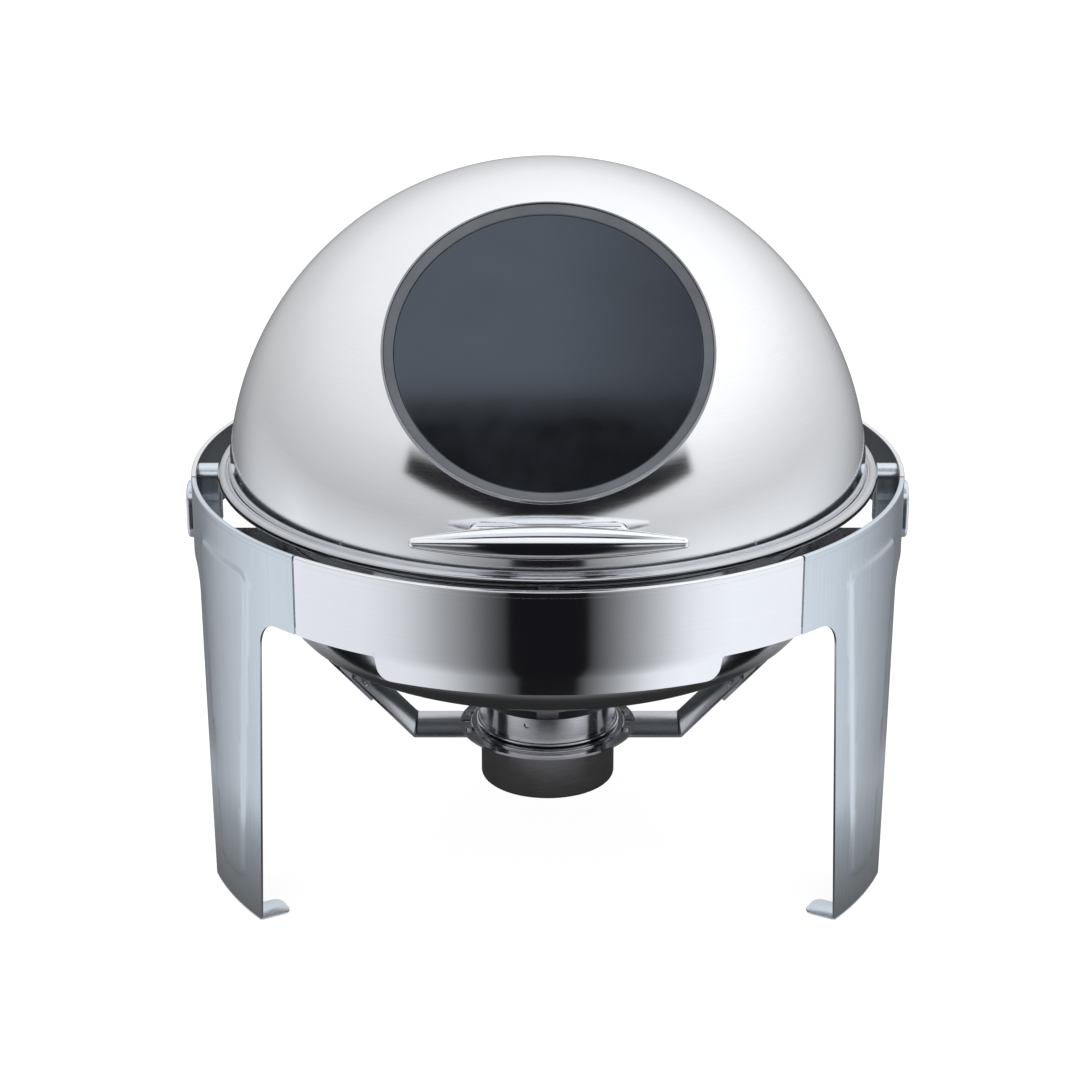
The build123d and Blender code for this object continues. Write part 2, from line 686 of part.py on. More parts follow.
def damper_rivet():
    """Shouldered rivet that the damper turns on."""
    shank = upright(DAMPER_PIN_R, CUP_TOP, DAMPER_LOW + DAMPER_SHEET + 0.3, *DAMPER_PIVOT)
    tail = upright(3.4, CUP_TOP - 1.2, CUP_TOP, *DAMPER_PIVOT)
    head_low = DAMPER_LOW + DAMPER_SHEET + 0.3
    head = upright(3.6, head_low, head_low + 1.2, *DAMPER_PIVOT)
    return shank + tail + head


# ---- assembly --------------------------------------------------------------
def build_frame():
    edge = FRONT_LEG_AZIMUTH - LEG_PLATE_HALF_ANGLE
    far_edge = FRONT_LEG_AZIMUTH + LEG_PLATE_HALF_ANGLE
    rear_edge = 180.0 - LEG_PLATE_HALF_ANGLE
    save("front_panel", front_panel())
    plate = leg()
    for name, azimuth in LEG_AZIMUTHS.items():
        save(name, Rot(0, 0, azimuth) * plate)
    screw_holes = hinge_screw_bars(SCREW_R, 200, FRAME_R + 5)
    rear_panel = band_arc(far_edge, rear_edge)
    for bar in screw_holes:
        rear_panel = rear_panel - bar
    for name, side in SIDES.items():
        save(f"rear_panel_{name}", mirrored(rear_panel, side))
    strap = section((INNER_R - 1.2, BAND_BOTTOM + 4), (INNER_R, BAND_BOTTOM + 4),
                    (INNER_R, FRAME_TOP - 6), (INNER_R - 1.2, FRAME_TOP - 6))
    seams = [azimuth + half for azimuth in LEG_AZIMUTHS.values()
             for half in (-LEG_PLATE_HALF_ANGLE, LEG_PLATE_HALF_ANGLE)]
    save("seam_straps", *[around(strap, seam - STRAP_HALF_ANGLE, seam + STRAP_HALF_ANGLE) for seam in seams])


def build_hinges():
    for name, side in SIDES.items():
        save(f"hinge_bracket_{name}", mirrored(hinge_bracket(), side))
        save(f"pivot_cover_{name}", mirrored(pivot_cover(), side))
        save(f"pivot_pin_{name}", mirrored(pivot_pin(), side))
        save(f"pivot_bush_{name}", mirrored(pivot_bush(), side))
        save(f"lid_ear_{name}", mirrored(lid_ear(), side))
    both = list(SIDES.values())
    save("hinge_screws", *[mirrored(screw, side) for side in both for screw in hinge_screws()])
    save("pivot_clips", *[mirrored(pivot_clip(), side) for side in both])


def build_lid():
    save("lid_dome", lid_dome())
    save("lid_rim", lid_rim())
    glass, gasket, trim, retainer = window_parts()
    save("window_glass", glass)
    save("window_gasket", gasket)
    save("window_trim_ring", trim)
    save("window_retaining_ring", retainer)
    grip = handle_grip()
    save("handle_grip", grip)
    for name, side in SIDES.items():
        save(f"handle_post_{name}", handle_post(side, grip))
    save("handle_screws", *[handle_screw(side) for side in SIDES.values()])


def build_pans():
    save("water_pan", water_pan())
    save("food_pan", food_pan())
    for name, side in SIDES.items():
        save(f"pan_support_{name}", mirrored(side_support(), side))
    save("pan_support_front", front_support())
    save("lid_buffer", upright(6.0, SUPPORT_SHELF[1], RIM_BOTTOM, 0, -206.7))


def build_burner():
    arm = burner_arm()
    bracket = arm_bracket()
    for y in rivet_rows():
        hole = slope_bar(RIVET_R, -8, 8, y)
        arm = arm - hole
        bracket = bracket - hole
    for x, y in plate_screw_places():
        arm = arm - upright(PLATE_SCREW_R, 0, FRAME_TOP, x, y)
    rivets = arm_rivets()
    for name, side in SIDES.items():
        save(f"burner_arm_{name}", mirrored(arm, side))
        save(f"arm_bracket_{name}", mirrored(bracket, side))
    save("arm_rivets", *[mirrored(rivet, side) for side in SIDES.values() for rivet in rivets])
    save("burner_plate", burner_plate())
    save("plate_screws", *plate_screws())
    save("burner_cup", burner_cup())
    save("burner_cover", burner_cover())
    save("burner_damper", burner_damper())
    save("damper_rivet", damper_rivet())


build_frame()
build_hinges()
build_lid()
build_pans()
build_burner()
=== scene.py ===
import json
import math

import bmesh
import bpy
from mathutils import Matrix, Vector
from mathutils.geometry import delaunay_2d_cdt

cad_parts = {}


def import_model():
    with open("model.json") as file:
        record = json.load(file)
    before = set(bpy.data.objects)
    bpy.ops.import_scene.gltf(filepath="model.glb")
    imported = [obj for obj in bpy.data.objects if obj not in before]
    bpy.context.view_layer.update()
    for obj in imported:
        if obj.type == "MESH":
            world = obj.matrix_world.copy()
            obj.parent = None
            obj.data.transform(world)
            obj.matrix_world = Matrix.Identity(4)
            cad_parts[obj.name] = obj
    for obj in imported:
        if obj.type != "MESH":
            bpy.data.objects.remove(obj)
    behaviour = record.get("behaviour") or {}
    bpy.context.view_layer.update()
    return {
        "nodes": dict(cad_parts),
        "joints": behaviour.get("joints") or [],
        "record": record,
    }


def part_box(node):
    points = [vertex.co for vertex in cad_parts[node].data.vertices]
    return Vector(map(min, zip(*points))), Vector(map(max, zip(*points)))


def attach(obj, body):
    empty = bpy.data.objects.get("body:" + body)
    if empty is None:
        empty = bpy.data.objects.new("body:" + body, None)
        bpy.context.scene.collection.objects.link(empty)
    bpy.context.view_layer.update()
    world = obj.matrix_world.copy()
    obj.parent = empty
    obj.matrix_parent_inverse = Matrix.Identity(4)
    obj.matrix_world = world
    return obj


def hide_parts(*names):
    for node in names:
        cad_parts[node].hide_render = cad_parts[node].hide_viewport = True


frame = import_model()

# Looks of a roll top chafer, in metres. The front is -Y and azimuth is
# measured from the front, positive towards +X. Bare heights of the window and
# handle sections are distances from the lid's hinge axis.

MM = 0.001
TURN = 2 * math.pi
slot_of = {part["node"]: part["material_slot"] for part in frame["record"]["subparts"]}
body_of = {node: body for body, nodes in frame["record"]["behaviour"]["bodies"].items()
           for node in nodes}


def size(node):
    """Width, depth and height of a CAD node."""
    low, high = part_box(node)
    return high - low


# ---- sizes read from the frame ----------------------------------------------
FRAME_R = -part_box("front_panel")[0].y
FRAME_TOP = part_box("front_panel")[1].z
LIP_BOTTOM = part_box("front_panel")[0].z
BAND_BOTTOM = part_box("rear_panel_left")[0].z
lid_joint = next(joint for joint in frame["joints"] if joint["name"] == "lid_roll")
PIVOT = Vector(lid_joint["pos_m"])
LID_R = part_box("lid_dome")[1].z - PIVOT.z
DOME_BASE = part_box("lid_dome")[0].z
RIM_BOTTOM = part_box("lid_rim")[0].z
RIM_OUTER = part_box("lid_rim")[1].x
WATER_RIM_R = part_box("water_pan")[1].x
WATER_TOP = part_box("water_pan")[1].z
WATER_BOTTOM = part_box("water_pan")[0].z
FOOD_RIM_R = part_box("food_pan")[1].x
FOOD_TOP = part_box("food_pan")[1].z
FOOD_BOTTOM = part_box("food_pan")[0].z
PLATE_LOW, PLATE_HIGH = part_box("burner_plate")
BURNER = Vector(((PLATE_LOW.x + PLATE_HIGH.x) / 2, (PLATE_LOW.y + PLATE_HIGH.y) / 2, 0))
CUP_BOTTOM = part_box("burner_cup")[0].z
CUP_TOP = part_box("burner_cup")[1].z
CUP_FLANGE_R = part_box("burner_cup")[1].x

# ---- sizes of the sheet work -------------------------------------------------
SHEET = 1.5 * MM
SEAM_HALF = 0.8 * MM
HEM_DEPTH = 4.0 * MM
HEM_INWARD = 2.0 * MM
FRONT_LEG_AZIMUTH = math.radians(61.5)
LEG_AZIMUTHS = {"leg_right": FRONT_LEG_AZIMUTH, "leg_rear": math.pi, "leg_left": -FRONT_LEG_AZIMUTH}
LEG_PLATE_HALF = math.radians(20.5)
LEG_TOP_HALF_WIDTH = 49.0 * MM
LEG_FOOT_HALF_WIDTH = 37.0 * MM
ARCH_RADIUS = 26.0 * MM
LIP_HALF_WIDTH = 102.0 * MM
LIP_INSET = 5.0 * MM
LIP_CORNER = 11.0 * MM
EMBOSS_TOP_HALF_WIDTH = 37.0 * MM
EMBOSS_FOOT_HALF_WIDTH = 19.0 * MM
EMBOSS_TOP = 238.0 * MM
EMBOSS_BOTTOM = 20.0 * MM
EMBOSS_CORNER = 9.0 * MM
EMBOSS_HEIGHT = 1.2 * MM
EMBOSS_SLOPE = 3.6 * MM
FOOT_TAB_WIDTH = 20.0 * MM
FOOT_TAB_REACH = 20.0 * MM
FOOT_CORNER = 6.0 * MM

LEG_LOOPS = (0.0, 0.9, 1.8, 2.7, 3.6)

LID_SHEET = 1.2 * MM
PAN_SHEET = 1.2 * MM
WATER_WALL_R = 177 * MM
WATER_CORNER = 31 * MM
FOOD_WALL_R = 170 * MM
FOOD_CORNER = 25 * MM
TRIM_OVERLAP = 2.8 * MM
WINDOW_OPENING_R = size("window_trim_ring").x / 2 - TRIM_OVERLAP
glass_low, glass_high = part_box("window_glass")
glass_middle = (glass_low + glass_high) / 2 - PIVOT
WINDOW_TILT = math.atan2(glass_middle.z, -glass_middle.y)
HANDLE_TILT = math.radians(9.6)
HANDLE_REACH = 228.0 * MM
HANDLE_POST_X = 31.0 * MM
GRIP_HALF = size("handle_grip").x / 2
GRIP_R = 10.0 * MM
GRIP_END_R = 3.2 * MM
# Width and depth of a handle post in millimetres, level by level; the first
# level sits on the dome and the others are distances from the hinge axis.
POST_LEVELS = [(32.0, 14.0, None), (32.0, 14.0, 208.9), (31.6, 13.6, 209.7),
               (30.6, 12.6, 210.2), (29.0, 11.0, 210.5), (22.0, 9.6, 210.9),
               (20.6, 9.2, 211.6), (20.0, 9.0, 213.0), (20.0, 9.0, 222.0)]

CUP_R = 43.3 * MM
CUP_SHEET = 1.2 * MM
ARM_SHEET = 2.0 * MM
ARM_SLOPE = math.radians(46.5)
ARM_BEND_X = 86 * MM
ARM_RISE = 56 * MM
BRACKET_LOW = 37 * MM
BRACKET_FLANGE_X = 112 * MM


# ---- outlines ----------------------------------------------------------------
def arc(centre, radius, start, end, steps=8):
    """Points on a round stretch, angles in degrees."""
    points = []
    for step in range(steps + 1):
        angle = math.radians(start + (end - start) * step / steps)
        points.append((centre[0] + radius * math.cos(angle), centre[1] + radius * math.sin(angle)))
    return points


def rounded(corners, radius=0.0, steps=5):
    """Closed outline; a corner's third value is its own radius."""
    outline = []
    for index, corner in enumerate(corners):
        here = Vector(corner[:2])
        back = Vector(corners[index - 1][:2]) - here
        onward = Vector(corners[(index + 1) % len(corners)][:2]) - here
        wanted = corner[2] if len(corner) > 2 else radius
        opening = back.angle(onward)
        if wanted <= 0 or opening > math.pi - 0.01:
            outline.append(tuple(here))
            continue
        reach = min(wanted / math.tan(opening / 2), 0.49 * min(back.length, onward.length))
        bisector = (back.normalized() + onward.normalized()).normalized()
        centre = here + bisector * (reach / math.cos(opening / 2))
        arm = here + back.normalized() * reach - centre
        far = here + onward.normalized() * reach - centre
        sweep = math.atan2(arm.x * far.y - arm.y * far.x, arm.dot(far))
        for step in range(steps + 1):
            turned = Matrix.Rotation(sweep * step / steps, 2) @ arm
            outline.append(tuple(centre + turned))
    return outline


def subdivided(outline, spacing):
    """The closed outline with points added on its long stretches."""
    points = []
    for index, start in enumerate(outline):
        end = outline[(index + 1) % len(outline)]
        length = math.dist(start, end)
        pieces = max(1, round(length / spacing))
        for step in range(pieces):
            share = step / pieces
            points.append((start[0] + (end[0] - start[0]) * share,
                           start[1] + (end[1] - start[1]) * share))
    return points


def inset(outline, distance):
    """The closed outline moved inwards, whichever way round it runs."""
    area = sum(a[0] * b[1] - b[0] * a[1] for a, b in zip(outline, outline[1:] + outline[:1]))
    side = 1 if area > 0 else -1
    moved = []
    for index, point in enumerate(outline):
        here = Vector(point)
        back = (here - Vector(outline[index - 1])).normalized()
        onward = (Vector(outline[(index + 1) % len(outline)]) - here).normalized()
        inward = Vector((-back.y - onward.y, back.x + onward.x)) * side
        if inward.length < 1e-6:
            moved.append(point)
            continue
        inward.normalize()
        lean = max(0.4, inward.dot(Vector((-onward.y, onward.x)) * side))
        moved.append(tuple(here + inward * (distance / lean)))
    return moved


def distance_to(outline, point):
    """Distance from a point to a closed outline."""
    here = Vector(point)
    best = 1.0
    for index, start in enumerate(outline):
        a = Vector(start)
        span = Vector(outline[(index + 1) % len(outline)]) - a
        share = max(0.0, min(1.0, (here - a).dot(span) / max(span.length_squared, 1e-12)))
        best = min(best, (a + span * share - here).length)
    return best


def inside(outline, point):
    """True if the point lies inside the closed outline."""
    x, y = point
    hits = 0
    for (x0, y0), (x1, y1) in zip(outline, outline[1:] + outline[:1]):
        if (y0 > y) != (y1 > y) and x < x0 + (x1 - x0) * (y - y0) / (y1 - y0):
            hits += 1
    return hits % 2 == 1


# ---- meshes ------------------------------------------------------------------
class Shape:
    """Points and faces of one piece, built up from several closed shells."""

    def __init__(self):
        self.points = []
        self.faces = []

    def add(self, points, faces, place=None):
        first = len(self.points)
        for point in points:
            self.points.append(tuple(place @ Vector(point)) if place else tuple(point))
        self.faces += [tuple(first + corner for corner in face) for face in faces]
        return self


def lathe(profile, steps=192, place=None, start=0.0, end=TURN, shape=None):
    """Turn a closed (radius, height) profile about Z, fully or between two azimuths."""
    shape = shape or Shape()
    whole = abs(end - start - TURN) < 1e-6
    rings = steps if whole else steps + 1
    points = []
    for ring in range(rings):
        azimuth = start + (end - start) * ring / steps
        points += [(r * math.sin(azimuth), -r * math.cos(azimuth), z) for r, z in profile]
    count = len(profile)
    faces = []
    for ring in range(steps):
        here, there = ring * count, (ring + 1) % rings * count
        for index in range(count):
            after = (index + 1) % count
            faces.append((here + index, there + index, there + after, here + after))
    if not whole:
        faces.append(tuple(range(count)))
        faces.append(tuple(reversed(range((rings - 1) * count, rings * count))))
    return shape.add(points, faces, place)


def stacked(levels, total):
    """Faces of a closed stack of outlines that all have the same number of points."""
    count = total // levels
    faces = [tuple(reversed(range(count)))]
    for level in range(levels - 1):
        here, there = level * count, (level + 1) * count
        for index in range(count):
            after = (index + 1) % count
            faces.append((here + index, here + after, there + after, there + index))
    faces.append(tuple(range(total - count, total)))
    return faces


def prism(outline, low, high, bevel, place=None, shape=None, steps=3):
    """Slab with rounded edges from a closed outline."""
    shape = shape or Shape()
    levels = []
    for step in range(steps + 1):
        angle = math.pi / 2 * step / steps
        levels.append((bevel * (1 - math.sin(angle)), low + bevel * (1 - math.cos(angle))))
    for step in range(steps + 1):
        angle = math.pi / 2 * (1 - step / steps)
        levels.append((bevel * (1 - math.sin(angle)), high - bevel * (1 - math.cos(angle))))
    points = [(x, y, z) for depth, z in levels for x, y in inset(outline, depth)]
    return shape.add(points, stacked(len(levels), len(points)), place)


def fill(outline, loops=(), spacing=(4 * MM, 6 * MM)):
    """Triangles that fill an outline, with points along inner loops and on a grid."""
    points = [Vector(point) for point in outline]
    edges = [(i, (i + 1) % len(outline)) for i in range(len(outline))]
    for loop in loops:
        first = len(points)
        points += [Vector(point) for point in loop]
        edges += [(first + i, first + (i + 1) % len(loop)) for i in range(len(loop))]
    left = min(x for x, _ in outline)
    right = max(x for x, _ in outline)
    low = min(y for _, y in outline)
    high = max(y for _, y in outline)
    columns = round((right - left) / spacing[0])
    rows = round((high - low) / spacing[1])
    for column in range(1, columns):
        for row in range(1, rows):
            point = (left + (right - left) * column / columns, low + (high - low) * row / rows)
            if not inside(outline, point) or distance_to(outline, point) < spacing[0] * 0.4:
                continue
            if any(distance_to(loop, point) < spacing[0] * 0.35 for loop in loops):
                continue
            points.append(Vector(point))
    made = delaunay_2d_cdt(points, edges, [], 1, 1e-9)
    placed = {source: index for index, sources in enumerate(made[3]) for source in sources}
    rim = [placed[i] for i in range(len(outline))]
    return [tuple(point) for point in made[0]], [tuple(face) for face in made[2]], rim


def wrapped(flat, turn, rise, thickness=SHEET, shape=None):
    """Sheet from a flat pattern of (arc length, height), bent round the frame.

    rise gives how far a point stands out from the frame's outer face.
    """
    shape = shape or Shape()
    pattern, triangles, rim = flat
    count = len(pattern)
    points = []
    for depth in (0.0, thickness):
        for along, height in pattern:
            azimuth = along / FRAME_R + turn
            radius = FRAME_R + rise(along, height) - depth
            points.append((radius * math.sin(azimuth), -radius * math.cos(azimuth), height))
    faces = [tuple(face) for face in triangles]
    faces += [tuple(count + corner for corner in reversed(face)) for face in triangles]
    for here, after in zip(rim, rim[1:] + rim[:1]):
        faces.append((after, here, here + count, after + count))
    return shape.add(points, faces)


def piece(name, shape, material, stands_for, sharp=32.0):
    """One visible piece: it takes the place and body of the CAD nodes it stands for."""
    mesh = bpy.data.meshes.new(name)
    mesh.from_pydata(shape.points, [], shape.faces)
    work = bmesh.new()
    work.from_mesh(mesh)
    bmesh.ops.remove_doubles(work, verts=work.verts, dist=1e-7)
    bmesh.ops.recalc_face_normals(work, faces=work.faces)
    work.to_mesh(mesh)
    work.free()
    mesh.shade_smooth()
    mesh.set_sharp_from_angle(angle=math.radians(sharp))
    thing = bpy.data.objects.new(name, mesh)
    bpy.context.scene.collection.objects.link(thing)
    mesh.materials.append(material)
    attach(thing, body_of[stands_for[0]])
    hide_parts(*stands_for)
    return thing


# ---- materials ----------------------------------------------------------------
class Nodes:
    """Short way to build a node tree of a material or of the world."""

    def __init__(self, owner):
        self.owner = owner
        owner.use_nodes = True
        self.tree = owner.node_tree
        self.shader = self.tree.nodes.get("Principled BSDF")

    def set(self, **values):
        for key, value in values.items():
            self.shader.inputs[key.replace("_", " ")].default_value = value

    def new(self, kind, inputs=None, **settings):
        made = self.tree.nodes.new(kind)
        for key, value in settings.items():
            setattr(made, key, value)
        for key, value in (inputs or {}).items():
            if isinstance(value, bpy.types.NodeSocket):
                self.tree.links.new(value, made.inputs[key])
            else:
                made.inputs[key].default_value = value
        return made

    def math(self, operation, first, second=0.0):
        return self.new("ShaderNodeMath", {0: first, 1: second}, operation=operation).outputs[0]

    def ramp(self, value, stops):
        """Colour by a value, through (position, colour) stops."""
        made = self.new("ShaderNodeValToRGB", {"Fac": value})
        elements = made.color_ramp.elements
        for index, (position, color) in enumerate(stops):
            element = elements[index] if index < 2 else elements.new(position)
            element.position = position
            element.color = (*color, 1)
        return made.outputs["Color"]

    def blend(self, share, first, second):
        made = self.new("ShaderNodeMix", {0: share, 6: first, 7: second}, data_type="RGBA")
        return made.outputs[2]

    def wire(self, output, name):
        self.tree.links.new(output, self.shader.inputs[name])

    def stretched(self, scale):
        """Coordinates of the piece, stretched so that grain runs along one direction."""
        place = self.new("ShaderNodeTexCoord")
        return self.new("ShaderNodeMapping", {"Vector": place.outputs["Object"],
                                              "Scale": scale}).outputs["Vector"]

    def turned(self, centre, along, across):
        """Coordinates that run round a vertical axis, for spun parts."""
        place = self.new("ShaderNodeTexCoord")
        moved = self.new("ShaderNodeVectorMath", {0: place.outputs["Object"], 1: tuple(centre)},
                         operation="SUBTRACT")
        split = self.new("ShaderNodeSeparateXYZ", {0: moved.outputs[0]})
        back = self.new("ShaderNodeMath", {0: split.outputs[1], 1: -1.0}, operation="MULTIPLY")
        angle = self.new("ShaderNodeMath", {0: split.outputs[0], 1: back.outputs[0]},
                         operation="ARCTAN2")
        flat = self.new("ShaderNodeVectorMath", {0: moved.outputs[0], 1: (1, 1, 0)},
                        operation="MULTIPLY")
        radius = self.new("ShaderNodeVectorMath", {0: flat.outputs[0]}, operation="LENGTH")
        values = []
        for output, scale in ((angle.outputs[0], along), (radius.outputs["Value"], across),
                              (split.outputs[2], across)):
            values.append(self.new("ShaderNodeMath", {0: output, 1: scale},
                                   operation="MULTIPLY").outputs[0])
        return self.new("ShaderNodeCombineXYZ", dict(enumerate(values))).outputs[0]

    def noise(self, vector, scale=1.0, detail=4.0, roughness=0.6):
        return self.new("ShaderNodeTexNoise", {"Vector": vector, "Scale": scale, "Detail": detail,
                                               "Roughness": roughness}).outputs["Fac"]

    def spread(self, value, low, high, start=0.3, end=0.7):
        return self.new("ShaderNodeMapRange", {"Value": value, "From Min": start, "From Max": end,
                                               "To Min": low, "To Max": high}).outputs["Result"]

    def tint(self, value, dark, light, start=0.3, end=0.7):
        return self.ramp(value, [(start, dark), (end, light)])

    def relief(self, value, strength, distance=0.0002):
        bump = self.new("ShaderNodeBump", {"Height": value, "Strength": strength,
                                           "Distance": distance})
        self.wire(bump.outputs["Normal"], "Normal")


def steel(name, dark, light, rough, grain=None, centre=None, strength=0.08, stain=14.0):
    """Steel sheet: cloudy tone, brushed roughness and a faint grain in relief."""
    made = Nodes(bpy.data.materials.new(name))
    made.set(Metallic=1.0)
    if centre is not None:
        brushed = made.turned(centre, 6.0, 2600.0)
    else:
        brushed = made.stretched(grain)
    lines = made.noise(brushed, 1.0, 3.0)
    place = made.new("ShaderNodeTexCoord").outputs["Object"]
    clouds = made.noise(place, stain, 5.0, 0.62)
    both = made.new("ShaderNodeMath", {0: lines, 1: clouds}, operation="ADD").outputs[0]
    half = made.new("ShaderNodeMath", {0: both, 1: 0.5}, operation="MULTIPLY").outputs[0]
    made.wire(made.tint(half, dark, light, 0.38, 0.62), "Base Color")
    made.wire(made.spread(half, rough[0], rough[1], 0.38, 0.62), "Roughness")
    made.relief(lines, strength)
    return made.owner


def smoked_glass():
    """Dark tempered glass with a faint film of wiping marks."""
    made = Nodes(bpy.data.materials.new("smoked_glass"))
    made.set(Transmission_Weight=0.5, IOR=2.0, Specular_Tint=(0.80, 0.88, 1.0, 1))
    place = made.new("ShaderNodeTexCoord").outputs["Object"]
    marks = made.noise(place, 26.0, 5.0)
    made.wire(made.tint(marks, (0.012, 0.014, 0.018), (0.024, 0.027, 0.034)), "Base Color")
    made.wire(made.spread(marks, 0.05, 0.12), "Roughness")
    return made.owner


def rubber():
    """Grey silicone seal with a fine moulded skin."""
    made = Nodes(bpy.data.materials.new("seal_rubber"))
    made.set(Specular_IOR_Level=0.5)
    place = made.new("ShaderNodeTexCoord").outputs["Object"]
    skin = made.noise(place, 900.0, 3.0)
    tone = made.noise(place, 30.0, 4.0)
    made.wire(made.tint(tone, (0.085, 0.092, 0.105), (0.130, 0.140, 0.158)), "Base Color")
    made.wire(made.spread(skin, 0.32, 0.52), "Roughness")
    made.relief(skin, 0.25, 0.0001)
    return made.owner


def plastic():
    """White acetal of the bushes."""
    made = Nodes(bpy.data.materials.new("bush_plastic"))
    place = made.new("ShaderNodeTexCoord").outputs["Object"]
    tone = made.noise(place, 120.0, 4.0)
    made.wire(made.tint(tone, (0.66, 0.66, 0.62), (0.78, 0.78, 0.74)), "Base Color")
    made.wire(made.spread(tone, 0.35, 0.55), "Roughness")
    made.relief(tone, 0.1)
    return made.owner


CENTRE = Vector((0, 0, 0))
LENGTHWISE = (3.0, 3.0, 1400.0)
finishes = {
    "dome": steel("dome_steel", (0.86, 0.865, 0.88), (0.90, 0.905, 0.915), (0.09, 0.13),
                  centre=CENTRE, strength=0.012, stain=9.0),
    "mirror": steel("mirror_steel", (0.84, 0.85, 0.87), (0.90, 0.91, 0.92), (0.05, 0.10),
                    centre=CENTRE, strength=0.02, stain=20.0),
    "band": steel("band_steel", (0.86, 0.865, 0.88), (0.89, 0.895, 0.905), (0.06, 0.09),
                  grain=LENGTHWISE, strength=0.004, stain=18.0),
    "leg": steel("leg_steel", (0.62, 0.68, 0.73), (0.68, 0.74, 0.79), (0.20, 0.27),
                 grain=(700.0, 700.0, 5.0), strength=0.03, stain=10.0),
    "burner": steel("burner_steel", (0.56, 0.56, 0.58), (0.66, 0.66, 0.69), (0.12, 0.20),
                    centre=BURNER, strength=0.03, stain=40.0),
    "pan": steel("pan_steel", (0.42, 0.43, 0.45), (0.52, 0.53, 0.55), (0.14, 0.22),
                 centre=CENTRE, strength=0.03, stain=16.0),
    "arm": steel("arm_steel", (0.58, 0.61, 0.64), (0.68, 0.71, 0.74), (0.12, 0.20),
                 grain=(8.0, 900.0, 8.0), strength=0.03, stain=30.0),
    "rim": steel("rim_steel", (0.50, 0.51, 0.53), (0.60, 0.61, 0.63), (0.06, 0.12),
                 centre=CENTRE, strength=0.02, stain=20.0),
    "trim": steel("trim_steel", (0.30, 0.31, 0.33), (0.38, 0.39, 0.41), (0.12, 0.20),
                  centre=CENTRE, strength=0.02, stain=30.0),
    # Inward faces of the frame: rougher unpolished steel, with a far darker tone that is painted
    # shade of the cavity inside the band.
    "inside": steel("inside_shade_steel", (0.15, 0.16, 0.17), (0.23, 0.24, 0.25), (0.28, 0.40),
                    grain=LENGTHWISE, strength=0.03, stain=12.0),
    "hardware": steel("hardware_steel", (0.52, 0.53, 0.55), (0.66, 0.67, 0.69), (0.20, 0.36),
                      grain=(160.0, 160.0, 160.0), strength=0.10, stain=60.0),
    "glass": smoked_glass(),
    "rubber": rubber(),
    "plastic": plastic(),
}
slot_finish = {
    "polished_steel": "mirror",
    "leg_steel": "leg",
    "dark_steel": "burner",
    "pan_steel": "pan",
    "hardware_steel": "hardware",
    "smoked_glass": "glass",
    "gasket_rubber": "rubber",
    "bush_plastic": "plastic",
}


# ---- frame -------------------------------------------------------------------
def shade_inside(thing):
    """The faces of a frame plate that look towards the middle get a rougher, unpolished finish
    whose very dark tone is painted shade.
    """
    thing.data.materials.append(finishes["inside"])
    for polygon in thing.data.polygons:
        middle, normal = polygon.center, polygon.normal
        towards = -(normal.x * middle.x + normal.y * middle.y) / math.hypot(middle.x, middle.y)
        if towards > 0.7:
            polygon.material_index = 1


def arc_length(across):
    """Length round the frame to a point that many metres to the side."""
    return FRAME_R * math.asin(across / FRAME_R)


def hem(start, end, shape):
    """Rolled top edge between two azimuths."""
    profile = rounded([
        (FRAME_R - SHEET - HEM_INWARD, FRAME_TOP - HEM_DEPTH, 1.0 * MM),
        (FRAME_R, FRAME_TOP - HEM_DEPTH, 0.1 * MM),
        (FRAME_R, FRAME_TOP, 1.0 * MM),
        (FRAME_R - SHEET - HEM_INWARD, FRAME_TOP, 1.2 * MM),
    ])
    steps = max(8, round((end - start) / math.radians(1.5)))
    return lathe(profile, steps, None, start, end, shape)


def level_sheet(along, height):
    """No emboss and no lean."""
    return 0.0


def band_piece(start, end, name, stands_for):
    """Plain stretch of the band between two seams."""
    middle = (start + end) / 2
    half = (end - start) / 2 * FRAME_R - SEAM_HALF
    top = FRAME_TOP - HEM_DEPTH
    outline = subdivided([(-half, BAND_BOTTOM), (half, BAND_BOTTOM), (half, top), (-half, top)],
                         4 * MM)
    shape = wrapped(fill(outline), middle, level_sheet)
    hem(start + SEAM_HALF / FRAME_R, end - SEAM_HALF / FRAME_R, shape)
    shade_inside(piece(name, shape, finishes["band"], [stands_for]))


def front_band():
    """Front of the band, with the lip that leans inwards below it."""
    edge = FRONT_LEG_AZIMUTH - LEG_PLATE_HALF
    half = edge * FRAME_R - SEAM_HALF
    lip_half = arc_length(LIP_HALF_WIDTH)
    top = FRAME_TOP - HEM_DEPTH
    outline = rounded([
        (-lip_half, BAND_BOTTOM, 1.5 * MM),
        (-lip_half, LIP_BOTTOM, LIP_CORNER),
        (lip_half, LIP_BOTTOM, LIP_CORNER),
        (lip_half, BAND_BOTTOM, 1.5 * MM),
        (half, BAND_BOTTOM),
        (half, top),
        (-half, top),
        (-half, BAND_BOTTOM),
    ])

    def lean(along, height):
        below = (BAND_BOTTOM - height) / (BAND_BOTTOM - LIP_BOTTOM)
        return -LIP_INSET * max(0.0, below)

    shape = wrapped(fill(subdivided(outline, 3 * MM), spacing=(3 * MM, 4 * MM)), 0.0, lean)
    reach = edge - SEAM_HALF / FRAME_R
    hem(-reach, reach, shape)
    shade_inside(piece("front_band", shape, finishes["band"], ["front_panel"]))


def emboss_corners(grow=0.0):
    """Corners of the raised panel, moved inwards by a distance."""
    low = arc_length(EMBOSS_FOOT_HALF_WIDTH) - grow
    high = arc_length(EMBOSS_TOP_HALF_WIDTH) - grow
    return [(-low, EMBOSS_BOTTOM + grow), (low, EMBOSS_BOTTOM + grow),
            (high, EMBOSS_TOP - grow), (-high, EMBOSS_TOP - grow)]


core = emboss_corners(EMBOSS_CORNER)


